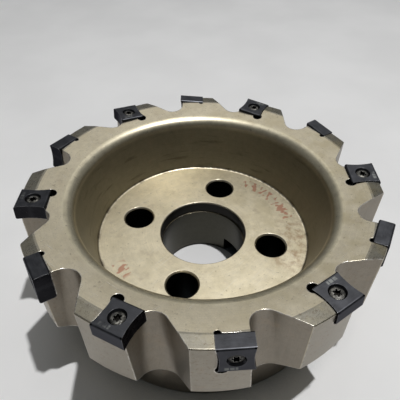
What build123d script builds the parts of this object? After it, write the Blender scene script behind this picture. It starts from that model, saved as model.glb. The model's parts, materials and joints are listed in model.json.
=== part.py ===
from build123d import *
import os
from math import cos, radians, sin, tan

# A right-hand face mill with twelve tangentially clamped inserts.  The origin is the centre of
# the rear mounting face, +Z points along the bore towards the cutting face.  Sizes are in mm.

# Overall tool
cutting_radius = 80.0
tool_height = 63.0
tooth_count = 12
tooth_angle = 360 / tooth_count
first_tooth_angle = -78.0
# The teeth are unequally spaced to break up chatter: each one's lead over even spacing, degrees.
pitch_lead = [0.3, 1.3, 0.3, -0.6, 0.3, 0.0, -1.9, -3.0, -1.2, 1.3, 1.0, 0.3]

# Arbor connection
bore_radius = 20.0
bore_chamfer = 1.0
bore_relief_radius = 20.5
bore_relief_depth = 6.5
bore_mouth_chamfer = 0.4
bolt_circle_radius = 66.7 / 2
bolt_count = 4
bolt_hole_radius = 7.0
bolt_hole_chamfer = 0.7
first_bolt_angle = -15.0
drive_slot_width = 16.4
drive_slot_depth = 9.0
drive_slot_angle = 30.0
drive_slot_length = 150.0

# Turned profile of the body
boss_radius = 65.0
boss_chamfer = 0.8
boss_fillet = 3.0
ring_radius = 78.4
ring_bottom = 32.5
ring_chamfer = 0.5
underside_slope = 30.0
floor_height = 32.0
floor_radius = 50.4
floor_fillet = 1.0
land_height = 61.6
land_inner_radius = 73.2
land_chamfer = 0.4
rim_radius = 57.6
rim_height = 59.4
rim_fillet = 5.0

# Insert: a square block whose two rake sides are hollowed
insert_side = 12.7
insert_half = insert_side / 2
insert_thickness = 6.35
rake_hollow = 0.8
nose_radius = 0.8
countersink_radius = 3.3
countersink_angle = 60.0
insert_hole_radius = 2.15

# How the inserts sit in the body
side_relief = 9.0
axial_rake = 4.0
face_dish = 3.0

# Insert screw, M4 x 0.7 with a six-lobed socket
thread_radius = 2.0
thread_pitch = 0.7
thread_depth = 0.4
thread_clearance = 0.05
thread_engagement = 7.0
thread_hole_depth = 8.5
head_recess = 1.1
head_clearance = 0.04
head_rim = 0.35
head_crown = 0.25
socket_depth = 1.5
socket_core_radius = 1.15
socket_lobe_radius = 0.38
socket_lobe_centre = 1.3
socket_lobes = 6

# Insert pocket
wall_clearance = 0.05
wall_bulge = 0.55
pocket_lead = 2.0
pocket_reach = 8.0
corner_relief_radius = 2.3
corner_relief_offset = 1.5
periphery_relief_drop = 0.8
seat_relief_radius = 1.2
seat_relief_offset = 1.0

# Chip gullet ahead of each insert
gullet_set_back = 1.2
gullet_overrun_top = 2.0
gullet_overrun_bottom = 12.0
gullet_top = tool_height + gullet_overrun_top
gullet_bottom = ring_bottom - gullet_overrun_bottom
gullet_reach = 100.0
root_radius_top = 5.5
root_radius_bottom = 8.0
heel_angle_top = 15.0
heel_angle_bottom = 15.5
heel_wall_angle = 51.0


def station_angle(tooth):
    """Angle about the bore axis of one tooth's cutting corner."""
    return first_tooth_angle + tooth * tooth_angle + pitch_lead[tooth]


def station(tooth):
    """Location that turns a shape built for angle zero round to one tooth."""
    return Location((0, 0, 0), (0, 0, station_angle(tooth)))


# Directions of a seated insert at angle zero: lead is the way its rake side faces, out and up
# are its two other faces.
level_lead = Vector(sin(radians(side_relief)), cos(radians(side_relief)), 0)
level_out = Vector(cos(radians(side_relief)), -sin(radians(side_relief)), 0)
lead = level_lead * cos(radians(axial_rake)) + Vector(0, 0, sin(radians(axial_rake)))
level_up = level_out.cross(lead)
out = level_out * cos(radians(face_dish)) + level_up * sin(radians(face_dish))
up = out.cross(lead)
cutting_corner = Vector(cutting_radius, 0, tool_height)

# Seat planes lie in the insert's screw face, centred on the screw, x towards the rake side.
# A periphery seat takes its screw radially, a face seat takes it axially.
periphery_centre = cutting_corner - (lead + up) * insert_half
face_centre = cutting_corner - (lead + out) * insert_half
periphery_seat = Plane(origin=periphery_centre, x_dir=lead, z_dir=out)
face_seat = Plane(origin=face_centre, x_dir=lead, z_dir=up)


def is_periphery(tooth):
    """Every second tooth, starting with the first, has its insert on the periphery."""
    return tooth % 2 == 0


def seat_plane(tooth):
    """Seat plane of one tooth in the frame of angle zero."""
    return periphery_seat if is_periphery(tooth) else face_seat


def nearest_corner(sketch, x, y):
    """The corner of a sketch nearest to a point of its own plane."""
    return sketch.vertices().sort_by_distance((x, y, 0))[:1]


# Turned blank with the bore, its relief and the deep front recess
underside_drop = (ring_radius - boss_radius) * tan(radians(underside_slope))
boss_top = ring_bottom - underside_drop

with BuildPart() as blank:
    with BuildSketch(Plane.XZ) as profile:
        with BuildLine():
            Polyline(
                (bore_radius, 0),
                (boss_radius, 0),
                (boss_radius, boss_top),
                (ring_radius, ring_bottom),
                (ring_radius, land_height),
                (land_inner_radius, land_height),
                (rim_radius, rim_height),
                (floor_radius, floor_height),
                (bore_relief_radius, floor_height),
                (bore_relief_radius, floor_height - bore_relief_depth),
                (bore_radius, floor_height - bore_relief_depth),
                close=True,
            )
        make_face()
        chamfer(nearest_corner(profile, bore_radius, 0), bore_chamfer)
        chamfer(nearest_corner(profile, boss_radius, 0), boss_chamfer)
        chamfer(nearest_corner(profile, ring_radius, ring_bottom), ring_chamfer)
        chamfer(nearest_corner(profile, ring_radius, land_height), land_chamfer)
        chamfer(nearest_corner(profile, bore_relief_radius, floor_height), bore_mouth_chamfer)
        fillet(nearest_corner(profile, floor_radius, floor_height), floor_fillet)
        fillet(nearest_corner(profile, boss_radius, boss_top), boss_fillet)
        fillet(nearest_corner(profile, rim_radius, rim_height), rim_fillet)
    revolve(axis=Axis.Z)


def gullet_plan(height, heel_angle, root_radius):
    """Plan of a gullet at one height: rake side, round root and heel wall of the next tooth."""
    side_slope = tan(radians(side_relief))
    heel_slope = tan(radians(heel_wall_angle))
    rake_side_y = (tool_height - height) * tan(radians(axial_rake)) - gullet_set_back
    heel_x = ring_radius * cos(radians(heel_angle))
    heel_y = ring_radius * sin(radians(heel_angle))
    rise = rake_side_y + side_slope * cutting_radius - heel_y + heel_slope * heel_x
    root_x = rise / (heel_slope + side_slope)
    root_y = heel_y + (root_x - heel_x) * heel_slope
    with BuildSketch(Plane.XY.offset(height)) as plan:
        with BuildLine():
            Polyline(
                (gullet_reach, rake_side_y + (cutting_radius - gullet_reach) * side_slope),
                (root_x, root_y),
                (gullet_reach, heel_y + (gullet_reach - heel_x) * heel_slope),
                close=True,
            )
        make_face()
        fillet(nearest_corner(plan, root_x, root_y), root_radius)
    return plan.sketch


# One gullet: its rake side is parallel to the insert's, its heel wall runs out to the next tooth
top_plan = gullet_plan(gullet_top, heel_angle_top, root_radius_top)
bottom_plan = gullet_plan(gullet_bottom, heel_angle_bottom, root_radius_bottom)

with BuildPart() as gullet:
    loft([bottom_plan, top_plan], ruled=True)


def pocket_cutter(seat, wall_side, relief_drop):
    """Space cut for one insert: seat, back wall, side wall, reliefs and the screw's hole.

    wall_side is -1 when the side wall is at negative y of the seat plane and +1 when positive.
    relief_drop is how far the corner relief is sunk into the side wall.
    """
    back = -insert_half - wall_clearance
    wall = wall_side * (insert_half + wall_clearance)
    open_end = -wall_side * (insert_half + pocket_reach)
    front = insert_half + pocket_lead
    seat_floor = seat.offset(-insert_thickness)
    relief_x = -insert_half + seat_relief_offset
    with BuildPart() as pocket:
        with BuildSketch(seat_floor):
            with BuildLine():
                ThreePointArc((back, wall), (back + wall_bulge, 0), (back, -wall))
                Polyline((back, -wall), (back, open_end), (front, open_end), (front, wall), (back, wall))
            make_face()
            with Locations((-insert_half + corner_relief_offset, wall + wall_side * relief_drop)):
                Circle(corner_relief_radius)
        extrude(amount=insert_thickness + pocket_reach)
        groove_start = seat_floor.location * Location((relief_x, wall, 0), (wall_side * 90, 0, 0))
        with BuildSketch(Plane(groove_start)):
            Circle(seat_relief_radius)
        extrude(amount=abs(open_end - wall))
        with BuildSketch(seat_floor):
            Circle(thread_radius)
        extrude(amount=-thread_hole_depth)
    return pocket.part


periphery_pocket = pocket_cutter(periphery_seat, -1, periphery_relief_drop)
face_pocket = pocket_cutter(face_seat, 1, 0)

periphery_stations = [station(tooth) for tooth in range(tooth_count) if is_periphery(tooth)]
face_stations = [station(tooth) for tooth in range(tooth_count) if not is_periphery(tooth)]

# Cutter body: the blank with bolt holes, drive slot, gullets and insert pockets
with BuildPart() as cutter_body:
    add(blank.part)
    with BuildSketch(Plane.XY):
        with PolarLocations(bolt_circle_radius, bolt_count, start_angle=first_bolt_angle):
            Circle(bolt_hole_radius)
    extrude(amount=floor_height, mode=Mode.SUBTRACT)
    hole_mouths = (
        cutter_body.edges()
        .filter_by(GeomType.CIRCLE)
        .filter_by(lambda edge: round(edge.radius, 2) == bolt_hole_radius)
        .group_by(Axis.Z)[-1]
    )
    chamfer(hole_mouths, bolt_hole_chamfer)
    with BuildSketch(Plane.XY):
        Rectangle(drive_slot_length, drive_slot_width, rotation=drive_slot_angle)
    extrude(amount=drive_slot_depth, mode=Mode.SUBTRACT)
    with Locations(periphery_stations + face_stations):
        add(gullet.part, mode=Mode.SUBTRACT)
    with Locations(periphery_stations):
        add(periphery_pocket, mode=Mode.SUBTRACT)
    with Locations(face_stations):
        add(face_pocket, mode=Mode.SUBTRACT)

# Insert, centred on its screw face, rake sides at plus and minus x
with BuildPart() as insert:
    with BuildSketch(Plane.XY):
        with BuildLine():
            for side in (-1, 1):
                corner_x = side * insert_half
                hollow_x = side * (insert_half - rake_hollow)
                ThreePointArc((corner_x, -insert_half), (hollow_x, 0), (corner_x, insert_half))
                Line((-insert_half, corner_x), (insert_half, corner_x))
        make_face()
    extrude(amount=-insert_thickness)
    fillet(insert.edges().filter_by(Axis.X), nose_radius)
    for face in (Plane.XY, Plane.XY.offset(-insert_thickness).rotated((180, 0, 0))):
        with Locations(face):
            CounterSinkHole(insert_hole_radius, countersink_radius, insert_thickness, countersink_angle)

# Insert screw, in the same frame as the insert it clamps
cone_slope = tan(radians(countersink_angle / 2))
head_radius = countersink_radius - head_clearance - head_recess * cone_slope
shank_radius = thread_radius - thread_clearance
root_radius = shank_radius - thread_depth
shank_top = -(countersink_radius - head_clearance - shank_radius) / cone_slope
screw_end = -insert_thickness - thread_engagement
thread_turns = round(thread_engagement / thread_pitch)
crown_base = -head_recess + head_rim
crown_top = crown_base + head_crown

with BuildPart() as insert_screw:
    with BuildSketch(Plane.XZ):
        with BuildLine():
            Polyline(
                (0, screw_end),
                (root_radius, screw_end),
                *[
                    (radius, screw_end + (turn + step) * thread_pitch)
                    for turn in range(thread_turns)
                    for radius, step in ((shank_radius, 0.5), (root_radius, 1))
                ],
                (shank_radius, screw_end + (thread_turns + 0.5) * thread_pitch),
                (shank_radius, shank_top),
                (head_radius, -head_recess),
                (head_radius, crown_base),
            )
            TangentArc((0, crown_top), (head_radius, crown_base), tangent=(1, 0))
            Line((0, crown_top), (0, screw_end))
        make_face()
    revolve(axis=Axis.Z)
    with BuildSketch(Plane.XY):
        Circle(socket_core_radius)
        with PolarLocations(socket_lobe_centre, socket_lobes):
            Circle(socket_lobe_radius)
    extrude(amount=crown_base - socket_depth, mode=Mode.SUBTRACT)

os.makedirs("parts", exist_ok=True)
cutter_body.part.label = "cutter_body"
export_step(cutter_body.part, "parts/cutter_body.step")

for tooth in range(tooth_count):
    place = station(tooth) * seat_plane(tooth).location
    for name, shape in (("insert", insert.part), ("insert_screw", insert_screw.part)):
        piece = place * shape
        piece.label = f"{name}_{tooth + 1:02d}"
        export_step(piece, f"parts/{piece.label}.step")
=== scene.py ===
import json
import math
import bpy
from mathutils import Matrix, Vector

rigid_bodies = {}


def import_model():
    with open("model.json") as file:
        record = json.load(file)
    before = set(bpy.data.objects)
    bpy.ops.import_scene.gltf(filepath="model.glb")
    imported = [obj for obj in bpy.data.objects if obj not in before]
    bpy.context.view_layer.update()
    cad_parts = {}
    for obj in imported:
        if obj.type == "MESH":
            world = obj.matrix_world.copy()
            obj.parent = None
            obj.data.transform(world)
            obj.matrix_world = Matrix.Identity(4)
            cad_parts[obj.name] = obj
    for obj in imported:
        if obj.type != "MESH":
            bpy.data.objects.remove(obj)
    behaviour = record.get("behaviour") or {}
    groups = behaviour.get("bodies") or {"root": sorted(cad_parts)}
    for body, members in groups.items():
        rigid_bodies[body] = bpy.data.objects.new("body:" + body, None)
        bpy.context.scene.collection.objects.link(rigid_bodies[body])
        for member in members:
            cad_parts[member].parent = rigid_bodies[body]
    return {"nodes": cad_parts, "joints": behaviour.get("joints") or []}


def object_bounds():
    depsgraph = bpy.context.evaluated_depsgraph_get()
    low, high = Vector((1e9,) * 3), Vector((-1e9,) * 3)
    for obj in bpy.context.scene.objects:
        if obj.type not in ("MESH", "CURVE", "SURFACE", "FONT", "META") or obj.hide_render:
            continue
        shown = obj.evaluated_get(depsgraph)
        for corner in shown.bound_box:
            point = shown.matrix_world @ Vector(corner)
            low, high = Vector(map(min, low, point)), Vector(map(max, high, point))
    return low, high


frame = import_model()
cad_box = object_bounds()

from types import SimpleNamespace

import bpy
from mathutils import Matrix, Vector

# Looks of a face mill: plated steel body, coated carbide inserts, steel screws.  All geometry comes
# from the frame.  Blender works in metres; inside the materials lengths are in millimetres.

MM = 0.001

nodes = frame["nodes"]
body_points = [vertex.co / MM for vertex in nodes["cutter_body"].data.vertices]

# Turned surfaces of the body, measured back from its highest and widest points
LAND_HEIGHT = max(point.z for point in body_points)
RIM_HEIGHT = LAND_HEIGHT - 2.2
FLOOR_HEIGHT = LAND_HEIGHT - 29.6
RING_RADIUS = max(math.hypot(point.x, point.y) for point in body_points)
RIM_RADIUS = RING_RADIUS - 20.8
FLOOR_RADIUS = RING_RADIUS - 28.0
BORE_RADIUS = RING_RADIUS - 58.4

# The inserts are square and half as thick as they are wide.  Along the screw, zero is the insert's
# outer face, and the socket in the screw's head starts a little below it.
INSERT_HALF = 6.35
INSERT_THICKNESS = INSERT_HALF
COUNTERSINK_RADIUS = 3.3
SOCKET_MOUTH = -0.85


# ---------------------------------------------------------------------------------------------
# Node trees
# ---------------------------------------------------------------------------------------------

class Graph:
    """Builds one node tree; every method returns the socket it made."""

    def __init__(self, tree):
        self.tree = tree
        tree.nodes.clear()

    def node(self, kind, inputs=(), **settings):
        """A new node with its settings, and values or links for its inputs."""
        made = self.tree.nodes.new("ShaderNode" + kind)
        for name, value in settings.items():
            setattr(made, name, value)
        for key, value in dict(inputs).items():
            if isinstance(value, bpy.types.NodeSocket):
                self.tree.links.new(value, made.inputs[key])
            else:
                made.inputs[key].default_value = value
        return made

    def math(self, operation, *values):
        return self.node("Math", enumerate(values), operation=operation).outputs[0]

    def chained(self, operation, values):
        """One operation carried through a row of values."""
        total = values[0]
        for value in values[1:]:
            total = self.math(operation, total, value)
        return total

    def add(self, *values):
        return self.chained("ADD", values)

    def product(self, *values):
        return self.chained("MULTIPLY", values)

    def invert(self, value):
        return self.math("SUBTRACT", 1.0, value)

    def size(self, value):
        """A value without its sign."""
        return self.math("ABSOLUTE", value)

    def ramp(self, value, low, high, start=0.0, end=1.0):
        """start below low and end above high, smooth in between."""
        inputs = {0: value, 1: low, 2: high, 3: start, 4: end}
        return self.node("MapRange", inputs, interpolation_type="SMOOTHSTEP").outputs[0]

    def fall(self, value, low, high):
        """One below low and zero above high, smooth in between."""
        return self.ramp(value, low, high, 1.0, 0.0)

    def band(self, value, low, high, soft):
        """One between low and high, fading to zero over soft on either side."""
        return self.product(self.ramp(value, low - soft, low), self.fall(value, high, high + soft))

    def swing(self, noise, amount, low=0.25, high=0.75):
        """Noise stretched to run from minus to plus an amount."""
        return self.ramp(noise, low, high, -amount, amount)

    def vector(self, operation, *values, output=0):
        return self.node("VectorMath", enumerate(values), operation=operation).outputs[output]

    def length(self, vector):
        return self.vector("LENGTH", vector, output=1)

    def scaled(self, vector, x, y, z):
        return self.vector("MULTIPLY", vector, (x, y, z))

    def combine(self, x, y, z):
        return self.node("CombineXYZ", enumerate((x, y, z))).outputs[0]

    def split(self, vector):
        return self.node("SeparateXYZ", {0: vector}).outputs

    def noise(self, vector, scale, detail=2.0, roughness=0.5):
        """Noise from zero to one; scale is in features per millimetre."""
        inputs = {"Vector": vector, "Scale": scale, "Detail": detail, "Roughness": roughness}
        return self.node("TexNoise", inputs).outputs["Fac"]

    def shade(self, factor, a, b):
        """Mix of two colours."""
        return self.node("Mix", {0: factor, 6: a, 7: b}, data_type="RGBA").outputs[2]

    def layered(self, colour, *layers):
        """A colour with others laid over it in turn, each where its mask is one."""
        for mask, cover in layers:
            colour = self.shade(mask, colour, cover)
        return colour

    def times(self, vector, amount):
        """A colour or vector times a number."""
        return self.node("VectorMath", {0: vector, "Scale": amount}, operation="SCALE").outputs[0]

    def place(self):
        """Where the shaded point is on its piece, in millimetres."""
        return self.times(self.node("TexCoord").outputs["Object"], 1 / MM)

    def facing_up(self):
        """How far the surface faces up: one on a level face, zero on an upright one."""
        return self.split(self.node("NewGeometry").outputs["True Normal"])[2]

    def turned(self, vector, angle):
        """A vector turned about the upright axis by an angle in radians."""
        inputs = {"Vector": vector, "Angle": angle}
        return self.node("VectorRotate", inputs, rotation_type="Z_AXIS").outputs[0]

    def worn_edges(self, width, samples=6):
        """One on outward edges, fading over a width in millimetres."""
        inputs = {"Distance": width * MM}
        node = self.node("AmbientOcclusion", inputs, inside=True, only_local=True, samples=samples)
        return self.fall(node.outputs["AO"], 0.55, 0.95)

    def crevices(self, width, samples=6):
        """One in inner corners and gaps, fading over a width in millimetres."""
        node = self.node("AmbientOcclusion", {"Distance": width * MM}, samples=samples)
        return self.fall(node.outputs["AO"], 0.15, 0.85)

    def rounded_normal(self, radius):
        """Normal with edges rounded to a radius in millimetres."""
        return self.node("Bevel", {"Radius": radius * MM}, samples=6).outputs[0]

    def bump(self, height, depth, normal):
        """Normal roughened by a height from zero to one; depth is in millimetres."""
        inputs = {"Height": height, "Distance": depth * MM, "Strength": 1.0, "Normal": normal}
        return self.node("Bump", inputs).outputs[0]

    def surface(self, **inputs):
        """The finished surface; input names use underscores for spaces."""
        named = {key.replace("_", " "): value for key, value in inputs.items()}
        shader = self.node("BsdfPrincipled", named)
        self.finish(shader, "OutputMaterial")

    def finish(self, shader, output_kind):
        self.tree.links.new(shader.outputs[0], self.node(output_kind).inputs[0])


def new_material(name):
    material = bpy.data.materials.new(name)
    material.use_nodes = True
    return material, Graph(material.node_tree)


# ---------------------------------------------------------------------------------------------
# Plated steel of the body
# ---------------------------------------------------------------------------------------------

PLATE = (0.66, 0.595, 0.455, 1)
HUB_FLOOR = (0.74, 0.665, 0.495, 1)
RECESS_WALL_WITH_SHADE = (0.275, 0.25, 0.185, 1)
RIM = (0.68, 0.62, 0.465, 1)
LAND = (0.35, 0.328, 0.272, 1)
FLANK_WITH_SHADE = (0.315, 0.285, 0.235, 1)
GULLET_WITH_SHADE = (0.265, 0.235, 0.192, 1)
BORE_SHADE = (0.060, 0.058, 0.047, 1)
HOLE_SHADE = (0.022, 0.021, 0.019, 1)
MARKER = (0.46, 0.15, 0.09, 1)
RUST = (0.34, 0.20, 0.12, 1)
TARNISH = (0.50, 0.43, 0.27, 1)
STAIN = (0.36, 0.28, 0.20, 1)
SPECK = (0.22, 0.17, 0.12, 1)
GRIME_AND_SHADE = (0.10, 0.075, 0.05, 1)
BARE_STEEL = (0.74, 0.71, 0.66, 1)


def body_point(g):
    """The shaded point of the body: place, distance from the axis, height and bearing."""
    place = g.place()
    x, y, z = g.split(place)
    return SimpleNamespace(
        place=place,
        x=x,
        height=z,
        radius=g.length(g.combine(x, y, 0.0)),
        bearing=g.math("DEGREES", g.math("ARCTAN2", y, x)),
    )


def body_surfaces(g, at):
    """One on each machined surface of the body and zero elsewhere; sunk is the bore and bolt holes."""
    up = g.facing_up()
    level = g.ramp(up, 0.9, 0.97)
    upright = g.fall(g.size(up), 0.25, 0.4)
    on_floor = g.band(at.height, FLOOR_HEIGHT - 1.0, FLOOR_HEIGHT + 1.0, 0.2)
    off_floor = g.ramp(at.height, FLOOR_HEIGHT + 0.1, FLOOR_HEIGHT + 0.6)
    below_floor = g.fall(at.height, FLOOR_HEIGHT - 1.4, FLOOR_HEIGHT - 0.1)
    below_rim = g.fall(at.height, RIM_HEIGHT - 5.4, RIM_HEIGHT - 1.9)
    at_rim = g.ramp(at.height, RIM_HEIGHT - 2.9, RIM_HEIGHT - 1.9)
    sunk = g.product(below_floor, g.fall(at.radius, FLOOR_RADIUS - 5.4, FLOOR_RADIUS - 4.4))
    bore = g.product(sunk, g.fall(at.radius, BORE_RADIUS + 2.0, BORE_RADIUS + 2.4))
    flank = g.product(upright, g.ramp(at.radius, RING_RADIUS - 0.3, RING_RADIUS - 0.1))
    gullet = g.product(upright, g.band(at.radius, RIM_RADIUS + 1.4, RING_RADIUS - 0.4, 0.2))
    return SimpleNamespace(
        level=level,
        hub=g.product(level, on_floor, g.band(at.radius, BORE_RADIUS - 1.0, FLOOR_RADIUS + 0.6, 0.2)),
        land=g.product(level, g.band(at.height, LAND_HEIGHT - 0.1, LAND_HEIGHT + 2.4, 0.02)),
        recess=g.product(
            g.band(at.radius, FLOOR_RADIUS - 1.4, RIM_RADIUS + 0.6, 0.5), off_floor, below_rim
        ),
        rim=g.product(g.band(at.radius, RIM_RADIUS - 2.6, RIM_RADIUS + 2.9, 1.5), at_rim),
        sunk=sunk,
        outside=g.invert(sunk),
        bore=bore,
        bore_relief=g.product(bore, g.ramp(at.height, FLOOR_HEIGHT - 7.0, FLOOR_HEIGHT - 5.5)),
        flank=flank,
        gullet=gullet,
        side=g.math("MAXIMUM", gullet, flank),
    )


def body_texture(g, at, on):
    """Grain of the plating, rings on turned faces, strokes in milled gullets, fine scratches."""
    rings = g.noise(g.combine(at.radius, at.height, 0.0), 2.2, 3.0, 0.7)
    strokes = g.noise(g.scaled(at.place, 1.0, 1.0, 0.06), 1.1, 3.0, 0.6)
    one_way = g.noise(g.scaled(g.turned(at.place, 0.6), 0.05, 1.6, 1.0), 1.4, 2.0)
    other_way = g.noise(g.scaled(g.turned(at.place, 2.3), 0.04, 1.8, 1.0), 1.2, 2.0)
    scratches = g.math("MAXIMUM", g.ramp(one_way, 0.66, 0.72), g.ramp(other_way, 0.67, 0.73))
    return SimpleNamespace(
        drift=g.noise(at.place, 0.035, 3.0),
        mottle=g.noise(at.place, 0.35, 4.0, 0.6),
        grain=g.noise(at.place, 3.5, 3.0, 0.65),
        marks=g.node("Mix", {0: on.gullet, 2: rings, 3: strokes}, data_type="FLOAT").outputs[0],
        scratches=g.product(scratches, on.level),
    )


def body_wear(g, at, on):
    """Tarnish, specks and stains of coolant and chips, grime and painted shade in corners, painted shade
    in the insert pockets, bare nicked edges.
    """
    clouds = g.noise(at.place, 0.11, 5.0, 0.62)
    tarnish_by_side = g.ramp(at.x, -40.0, 70.0, 0.20, 0.55)
    speckle = g.noise(at.place, 0.9, 2.0, 0.4)
    more_specks = g.product(g.add(on.side, on.land), 0.05)
    blotches = g.noise(at.place, 0.16, 5.0, 0.62)
    nicks = g.ramp(g.noise(at.place, 0.55, 3.0, 0.6), 0.40, 0.60)
    pockets = g.product(g.ramp(at.height, 40.0, 44.0), g.ramp(at.radius, 62.0, 64.0))
    return SimpleNamespace(
        tarnish=g.product(g.ramp(clouds, 0.40, 0.66), tarnish_by_side, on.level),
        specks=g.product(g.ramp(g.add(speckle, more_specks), 0.665, 0.75), on.outside),
        stains=g.product(g.ramp(blotches, 0.54, 0.76), on.outside),
        grime_and_crevice_shade=g.crevices(2.0),
        pocket_shade=g.product(g.crevices(6.0), pockets),
        edges=g.product(g.worn_edges(0.6), on.outside, g.add(g.product(nicks, 0.85), 0.15)),
    )


def recess_stains(g, at, on):
    """Rubbed marker strokes and rust on the hub floor, oil and grime low on the recess wall."""
    right_hand = g.band(at.bearing, 14.0, 58.0, 3.0)
    left_hand = g.band(at.bearing, -150.0, -141.0, 3.0)
    written = g.product(g.band(at.radius, 41.0, 46.0, 1.0), g.math("MAXIMUM", right_hand, left_hand))
    unrolled = g.combine(g.product(at.bearing, 0.30), g.product(at.radius, 0.22), 0.0)
    strokes = g.ramp(g.noise(unrolled, 1.0, 1.5), 0.51, 0.57)
    rusty = g.product(g.band(at.radius, 39.0, 47.0, 4.0), g.band(at.bearing, -24.0, 4.0, 12.0))
    flakes = g.ramp(g.noise(at.place, 0.22, 5.0, 0.65), 0.42, 0.66)
    down_wall = g.combine(g.product(at.bearing, 0.05), g.product(at.height, 0.35), 3.0)
    runs = g.ramp(g.noise(down_wall, 1.0, 4.0, 0.6), 0.56, 0.72)
    along_corner = g.combine(g.product(at.bearing, 0.10), 0.0, 7.0)
    clumps = g.ramp(g.noise(along_corner, 1.0, 4.0, 0.65), 0.46, 0.62, 0.05, 0.70)
    corner = g.product(
        g.band(at.radius, FLOOR_RADIUS - 1.1, FLOOR_RADIUS + 0.6, 0.3),
        g.band(at.height, FLOOR_HEIGHT + 0.05, FLOOR_HEIGHT + 1.2, 0.1),
    )
    return SimpleNamespace(
        marker=g.product(written, strokes, on.hub),
        rust=g.product(rusty, on.hub, flakes),
        oil=g.product(on.recess, runs),
        corner_dirt=g.product(corner, clumps),
    )


def plated_steel():
    """Nickel-coloured plating over turned, milled and ground steel, with bare worn edges."""
    material, g = new_material("plated_steel")
    at = body_point(g)
    on = body_surfaces(g, at)
    texture = body_texture(g, at, on)
    wear = body_wear(g, at, on)
    stains = recess_stains(g, at, on)

    tone = g.add(
        1.0,
        g.swing(texture.drift, 0.04, 0.3, 0.7),
        g.swing(texture.mottle, 0.065),
        g.swing(texture.grain, 0.11),
    )
    machined = g.layered(
        PLATE,
        (on.hub, HUB_FLOOR),
        # The recess wall, flanks and gullets are darker partly as painted shade, standing in for the
        # dark surroundings these upright faces reflect
        (on.recess, RECESS_WALL_WITH_SHADE),
        (on.rim, RIM),
        (on.land, LAND),
        (on.flank, FLANK_WITH_SHADE),
        (on.gullet, GULLET_WITH_SHADE),
        # The bolt holes, the bore and its relief band are painted near-black: painted shade deep in the
        # holes
        (on.sunk, HOLE_SHADE),
        (on.bore, BORE_SHADE),
        (on.bore_relief, HOLE_SHADE),
    )
    colour = g.layered(
        g.times(machined, g.product(tone, g.ramp(texture.marks, 0.2, 0.8, 0.95, 1.05))),
        (wear.tarnish, TARNISH),
        (g.product(wear.stains, 0.30), STAIN),
        (g.product(wear.specks, 0.45), SPECK),
        (g.product(stains.rust, 0.60), RUST),
        (g.product(stains.marker, 0.66), MARKER),
        (stains.corner_dirt, GRIME_AND_SHADE),
        (g.product(stains.oil, 0.45), GRIME_AND_SHADE),
        # Grime and painted shade darken the inner corners
        (g.product(wear.grime_and_crevice_shade, 0.45), GRIME_AND_SHADE),
        # Painted shade, near-black, deep in the insert pockets
        (wear.pocket_shade, HOLE_SHADE),
        (g.product(texture.scratches, 0.35), BARE_STEEL),
        (wear.edges, BARE_STEEL),
    )
    roughness = g.add(
        0.33,
        g.product(on.hub, 0.16),
        g.product(on.recess, 0.12),
        g.product(on.rim, 0.10),
        g.product(on.land, -0.03),
        g.product(on.side, 0.06),
        g.swing(texture.mottle, 0.02),
        g.swing(texture.grain, 0.04),
        g.product(wear.edges, -0.10),
        g.product(wear.grime_and_crevice_shade, 0.15),
        g.product(texture.scratches, -0.06),
    )
    height = g.add(
        g.product(texture.grain, 0.5),
        g.product(texture.marks, 0.6),
        g.product(texture.scratches, -0.4),
        g.product(wear.specks, -0.5),
    )
    normal = g.bump(height, 0.010, g.rounded_normal(0.40))
    g.surface(Base_Color=colour, Metallic=1.0, Roughness=roughness, Normal=normal)
    return material


# ---------------------------------------------------------------------------------------------
# Coated carbide and screw steel
# ---------------------------------------------------------------------------------------------

SEAT_NAMES = ("seat_origin", "seat_x", "seat_y", "seat_z")

COATING = (0.086, 0.088, 0.097, 1)
RAKE_SHADE = (0.022, 0.022, 0.025, 1)
COUNTERSINK_SHADE = (0.05, 0.05, 0.055, 1)
ETCHED = (0.36, 0.37, 0.35, 1)
WORN_CARBIDE = (0.40, 0.40, 0.41, 1)
CARBIDE_GLINT = (0.5, 0.5, 0.52, 1)
SOCKET_GRIME_AND_SHADE = (0.02, 0.018, 0.016, 1)
SCREW_RIM_SHADE = (0.030, 0.029, 0.027, 1)
SCREW_CROWN = (0.095, 0.092, 0.085, 1)
RUBBED_CROWN = (0.30, 0.29, 0.26, 1)
SCREW_GRIME_AND_SHADE = (0.035, 0.03, 0.025, 1)
WORN_SCREW = (0.50, 0.485, 0.45, 1)


def seat_point(g):
    """The shaded point from its seat's origin: u to the rake side, v across, w along the screw."""
    place = g.node("TexCoord").outputs["Object"]
    origin, *axes = [
        g.node("Attribute", attribute_type="OBJECT", attribute_name=name).outputs["Vector"]
        for name in SEAT_NAMES
    ]
    offset = g.vector("SUBTRACT", place, origin)
    u, v, w = [g.product(g.vector("DOT_PRODUCT", offset, axis, output=1), 1 / MM) for axis in axes]
    return SimpleNamespace(u=u, v=v, w=w, from_axis=g.length(g.combine(u, v, 0.0)))


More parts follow.
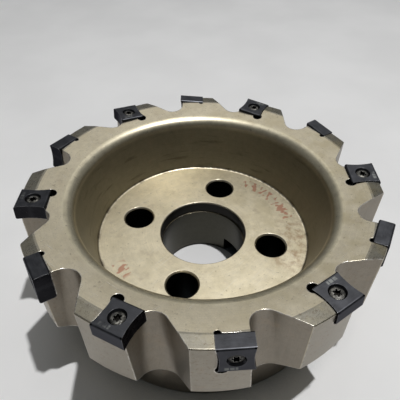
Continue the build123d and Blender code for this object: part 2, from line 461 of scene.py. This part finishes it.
def coated_carbide():
    """Dark blue-grey coating on ground carbide, brighter along the cutting edges."""
    material, g = new_material("coated_carbide")
    at = seat_point(g)
    own = g.node("ObjectInfo").outputs["Random"]
    own_shift = g.combine(g.product(own, 40.0), g.product(own, 17.0), 0.0)
    place = g.vector("ADD", g.combine(at.u, at.v, at.w), own_shift)

    # Ground faces show fine parallel strokes; the hollowed rake sides are polished and get a painted
    # dark reflection, nearly black
    strokes = g.noise(g.scaled(place, 0.12, 1.0, 1.0), 3.0, 3.0, 0.6)
    cloud = g.noise(place, 0.22, 4.0, 0.6)
    grain = g.noise(place, 5.0, 2.0, 0.6)
    from_middle = g.size(g.add(at.w, INSERT_THICKNESS / 2))
    screw_face = g.ramp(from_middle, INSERT_THICKNESS / 2 - 0.075, INSERT_THICKNESS / 2 - 0.005)
    rake = g.product(
        g.ramp(g.size(at.u), INSERT_HALF - 0.95, INSERT_HALF - 0.75),
        g.invert(screw_face),
        g.fall(g.size(at.v), INSERT_HALF - 0.15, INSERT_HALF - 0.01),
    )
    # The countersink around the screw is painted darker: painted shade in the recess
    funnel = g.fall(at.from_axis, COUNTERSINK_RADIUS - 0.10, COUNTERSINK_RADIUS + 0.05)

    # Faint etched tally bars beside the screw, partly rubbed off
    bars = g.product(
        g.band(at.v, -5.1, -3.9, 0.2),
        g.band(g.math("PINGPONG", g.add(at.u, 4.2), 0.9), 0.3, 0.9, 0.2),
        g.band(at.u, -4.2, 0.3, 0.2),
        screw_face,
        g.ramp(cloud, 0.35, 0.6),
    )
    nicks = g.ramp(g.noise(place, 1.3, 3.0, 0.6), 0.38, 0.62)
    worn = g.product(g.worn_edges(0.22), g.add(g.product(nicks, 0.7), 0.3))

    tone = g.add(
        g.ramp(own, 0.0, 1.0, 0.92, 1.08),
        g.swing(cloud, 0.14),
        g.swing(strokes, 0.08),
        g.swing(grain, 0.06),
    )
    # Painted light: faces turned up are lighter, upright and downward faces darker
    tone = g.product(tone, g.ramp(g.facing_up(), 0.3, 0.8, 0.85, 1.05))
    shaded_base = g.layered(COATING, (rake, RAKE_SHADE), (g.product(funnel, 0.6), COUNTERSINK_SHADE))
    colour = g.layered(
        g.times(shaded_base, tone),
        (g.product(bars, 0.6), ETCHED),
        (g.product(worn, 0.55), WORN_CARBIDE),
        # Grime and painted shade in the gaps around the insert and its screw
        (g.product(g.crevices(1.2), 0.5), SOCKET_GRIME_AND_SHADE),
    )
    roughness = g.add(
        0.36,
        g.product(rake, -0.08),
        g.swing(cloud, 0.07),
        g.swing(strokes, 0.04),
        g.product(bars, 0.15),
        g.product(worn, -0.06),
    )
    height = g.add(g.product(strokes, 0.6), g.product(grain, 0.4), g.product(bars, -0.6))
    normal = g.bump(height, 0.005, g.rounded_normal(0.12))
    g.surface(
        Base_Color=colour,
        Metallic=1.0,
        Roughness=roughness,
        Normal=normal,
        Specular_Tint=CARBIDE_GLINT,
    )
    return material


def screw_steel():
    """Burnished steel of the insert screws, turned on the head, with painted shade on the head's outer
    rim and sides and grime and painted shade in the socket.
    """
    material, g = new_material("screw_steel")
    at = seat_point(g)
    own = g.node("ObjectInfo").outputs["Random"]
    own_shift = g.combine(g.product(own, 30.0), 0.0, 0.0)
    place = g.vector("ADD", g.combine(at.u, at.v, at.w), own_shift)
    up = g.facing_up()

    rings = g.noise(g.combine(at.from_axis, at.w, own), 5.0, 2.0, 0.6)
    cloud = g.noise(place, 0.7, 3.0, 0.6)
    grain = g.noise(place, 6.0, 2.0, 0.6)
    socket = g.fall(at.w, SOCKET_MOUTH - 1.15, SOCKET_MOUTH)
    crown = g.band(at.from_axis, 1.6, 2.15, 0.25)
    rubbed_crown = g.product(crown, g.ramp(cloud, 0.46, 0.60), g.ramp(up, 0.3, 0.8, 0.15, 1.0))
    worn = g.product(g.worn_edges(0.18), g.ramp(g.noise(place, 1.6, 2.0), 0.35, 0.6))

    tone = g.add(1.0, g.swing(rings, 0.10), g.swing(cloud, 0.12), g.swing(grain, 0.05))
    # Painted shade: the head's outer rim is darker, and faces that do not face up are darker still
    shaded_base = g.times(g.shade(crown, SCREW_RIM_SHADE, SCREW_CROWN), g.ramp(up, 0.3, 0.8, 0.45, 1.0))
    colour = g.layered(
        g.times(g.shade(rubbed_crown, shaded_base, RUBBED_CROWN), tone),
        # Grime and painted shade in the socket and in the crevices of the head
        (g.product(socket, 0.8), SOCKET_GRIME_AND_SHADE),
        (g.product(g.crevices(0.8), 0.6), SCREW_GRIME_AND_SHADE),
        (worn, WORN_SCREW),
    )
    roughness = g.add(0.38, g.swing(cloud, 0.06), g.product(socket, 0.12), g.product(worn, -0.08))
    height = g.add(g.product(rings, 0.7), g.product(grain, 0.3))
    normal = g.bump(height, 0.006, g.rounded_normal(0.08))
    g.surface(Base_Color=colour, Metallic=1.0, Roughness=roughness, Normal=normal)
    return material


# ---------------------------------------------------------------------------------------------
# Materials on the pieces
# ---------------------------------------------------------------------------------------------

def seat_axes(insert, hinge):
    """Origin and unit axes of an insert's seat: x towards its rake side, z along its screw."""
    origin = Vector(hinge["pos_m"])
    z_axis = Vector(hinge["axis"]).normalized()
    offsets = [vertex.co - origin for vertex in insert.data.vertices]
    across = [offset - z_axis * offset.dot(z_axis) for offset in offsets]
    diagonal = max(across, key=lambda offset: offset.length).normalized()
    turning = Vector((-origin.y, origin.x, 0)).normalized()
    sides = [Matrix.Rotation(math.radians(angle), 3, z_axis) @ diagonal for angle in (45, 135, 225, 315)]
    x_axis = max(sides, key=lambda side: side.dot(turning))
    return origin, x_axis, z_axis.cross(x_axis), z_axis


def on_second_edge(seat):
    """The seat's axes for an insert that has been turned half round."""
    origin, x_axis, y_axis, z_axis = seat
    return origin, -x_axis, -y_axis, z_axis


def give(node, material, seat=()):
    """Puts a material on a CAD node, with the seat's axes where the material needs them."""
    node.data.materials.clear()
    node.data.materials.append(material)
    for name, value in zip(SEAT_NAMES, seat):
        node[name] = tuple(value)


def dress_pieces():
    """Gives every piece its material; every third insert sits on its second edge."""
    give(nodes["cutter_body"], plated_steel())
    carbide = coated_carbide()
    steel = screw_steel()
    for hinge in frame["joints"]:
        if hinge["type"] != "hinge":
            continue
        insert_name = hinge["parent"]
        seat = seat_axes(nodes[insert_name], hinge)
        if int(insert_name[-2:]) % 3 == 2:
            seat = on_second_edge(seat)
        give(nodes[insert_name], carbide, seat)
        give(nodes[hinge["child"]], steel, seat)


# ---------------------------------------------------------------------------------------------
# Table, light and camera
# ---------------------------------------------------------------------------------------------

SHEET = (0.88, 0.875, 0.87)
SHEET_SHADOW = (0.135, 0.165, 0.185, 1)
COOL_WALLS = (0.93, 0.97, 1.0, 1)
WARM_PATCH = (1.0, 0.99, 0.96, 1)

# The camera looks at the tool's axis from the front; its sensor and focal length are in millimetres
AIM_HEIGHT = 0.030
CAMERA_DISTANCE = 0.20667
CAMERA_ELEVATION = math.radians(46.6)
CAMERA_TILT = math.radians(-4.57)
CAMERA_PAN = math.radians(-0.40)
CAMERA_ROLL = math.radians(-0.97)
SENSOR_WIDTH = 36.0
FOCAL_LENGTH = 37.67


def pale_sheet():
    """Smooth pale table top, with a painted shadow where the tool shelters it."""
    material, g = new_material("pale_sheet")
    place = g.place()
    cloud = g.noise(place, 0.012, 3.0)
    grain = g.noise(place, 1.5, 2.0)
    x, y, _ = g.split(place)
    outside_bore = g.ramp(g.length(g.combine(x, y, 0.0)), BORE_RADIUS, BORE_RADIUS + 1.0)
    # Painted shadow on the sheet around the tool's foot, tinted cool
    painted_shadow = g.ramp(g.product(g.crevices(30.0, 8), outside_bore), 0.05, 1.0)
    colour = g.shade(painted_shadow, g.times(SHEET, g.ramp(cloud, 0.3, 0.7, 0.97, 1.03)), SHEET_SHADOW)
    height = g.add(g.product(cloud, 60.0), g.product(grain, 0.3))
    g.surface(
        Base_Color=colour,
        Metallic=0.0,
        Roughness=g.ramp(cloud, 0.3, 0.7, 0.30, 0.36),
        Normal=g.bump(height, 0.01, g.node("NewGeometry").outputs["Normal"]),
        Specular_IOR_Level=0.35,
    )
    return material


def table_top():
    """A pale sheet just under the tool, much larger than the picture."""
    half = 3.0
    level = cad_box[0].z - 0.05 * MM
    mesh = bpy.data.meshes.new("table_top")
    corners = [(-half, -half, level), (half, -half, level), (half, half, level), (-half, half, level)]
    mesh.from_pydata(corners, [], [(0, 1, 2, 3)])
    sheet = bpy.data.objects.new("table_top", mesh)
    bpy.context.scene.collection.objects.link(sheet)
    mesh.materials.append(pale_sheet())


def room():
    """Room around the tool: a bright patch high up behind it, dim walls elsewhere."""
    world = bpy.data.worlds.new("room")
    world.use_nodes = True
    bpy.context.scene.world = world
    g = Graph(world.node_tree)
    x, y, z = g.split(g.node("TexCoord").outputs["Generated"])
    elevation = g.math("DEGREES", g.math("ARCSINE", z))
    off_centre = g.size(g.math("DEGREES", g.math("ARCTAN2", x, y)))
    patch = g.product(g.band(elevation, 42.0, 74.0, 5.0), g.fall(off_centre, 18.0, 30.0))
    walls = g.ramp(off_centre, 70.0, 120.0, 0.14, 0.05)
    ceiling = g.ramp(elevation, 55.0, 85.0, 0.0, 0.22)
    strength = g.add(walls, ceiling, g.product(patch, 0.75))
    tint = g.shade(patch, COOL_WALLS, WARM_PATCH)
    g.finish(g.node("Background", {"Color": tint, "Strength": strength}), "OutputWorld")


def lamp(name, direction, distance, width, power):
    """A round soft light aimed at the tool."""
    light = bpy.data.lights.new(name, "AREA")
    light.shape = "DISK"
    light.size = width
    light.energy = power
    holder = bpy.data.objects.new(name, light)
    bpy.context.scene.collection.objects.link(holder)
    towards = Vector(direction).normalized()
    holder.location = towards * distance
    holder.rotation_mode = "QUATERNION"
    holder.rotation_quaternion = towards.to_track_quat("Z", "Y")


def camera():
    """Camera of a phone held close above the front of the tool."""
    right = Vector((1, 0, 0))
    back = Vector((0, -math.cos(CAMERA_ELEVATION), math.sin(CAMERA_ELEVATION)))
    level = Matrix((right, back.cross(right), back))
    turns = ((CAMERA_TILT, "X"), (CAMERA_PAN, "Y"), (CAMERA_ROLL, "Z"))
    tilt, pan, roll = [Matrix.Rotation(angle, 3, axis) for angle, axis in turns]
    axes = (tilt @ pan @ roll @ level).transposed()
    rig = bpy.data.cameras.new("camera")
    rig.sensor_width = SENSOR_WIDTH
    rig.lens = FOCAL_LENGTH
    rig.clip_start = 0.005
    rig.clip_end = 20.0
    holder = bpy.data.objects.new("camera", rig)
    bpy.context.scene.collection.objects.link(holder)
    stand = Vector((0, 0, AIM_HEIGHT)) + back * CAMERA_DISTANCE
    holder.matrix_world = Matrix.Translation(stand) @ axes.to_4x4()
    bpy.context.scene.camera = holder


dress_pieces()
table_top()
room()
lamp("key", direction=(0.168, 0.0, 0.986), distance=1.5, width=0.05, power=14.0)
camera()
bpy.context.scene.view_settings.view_transform = "Standard"
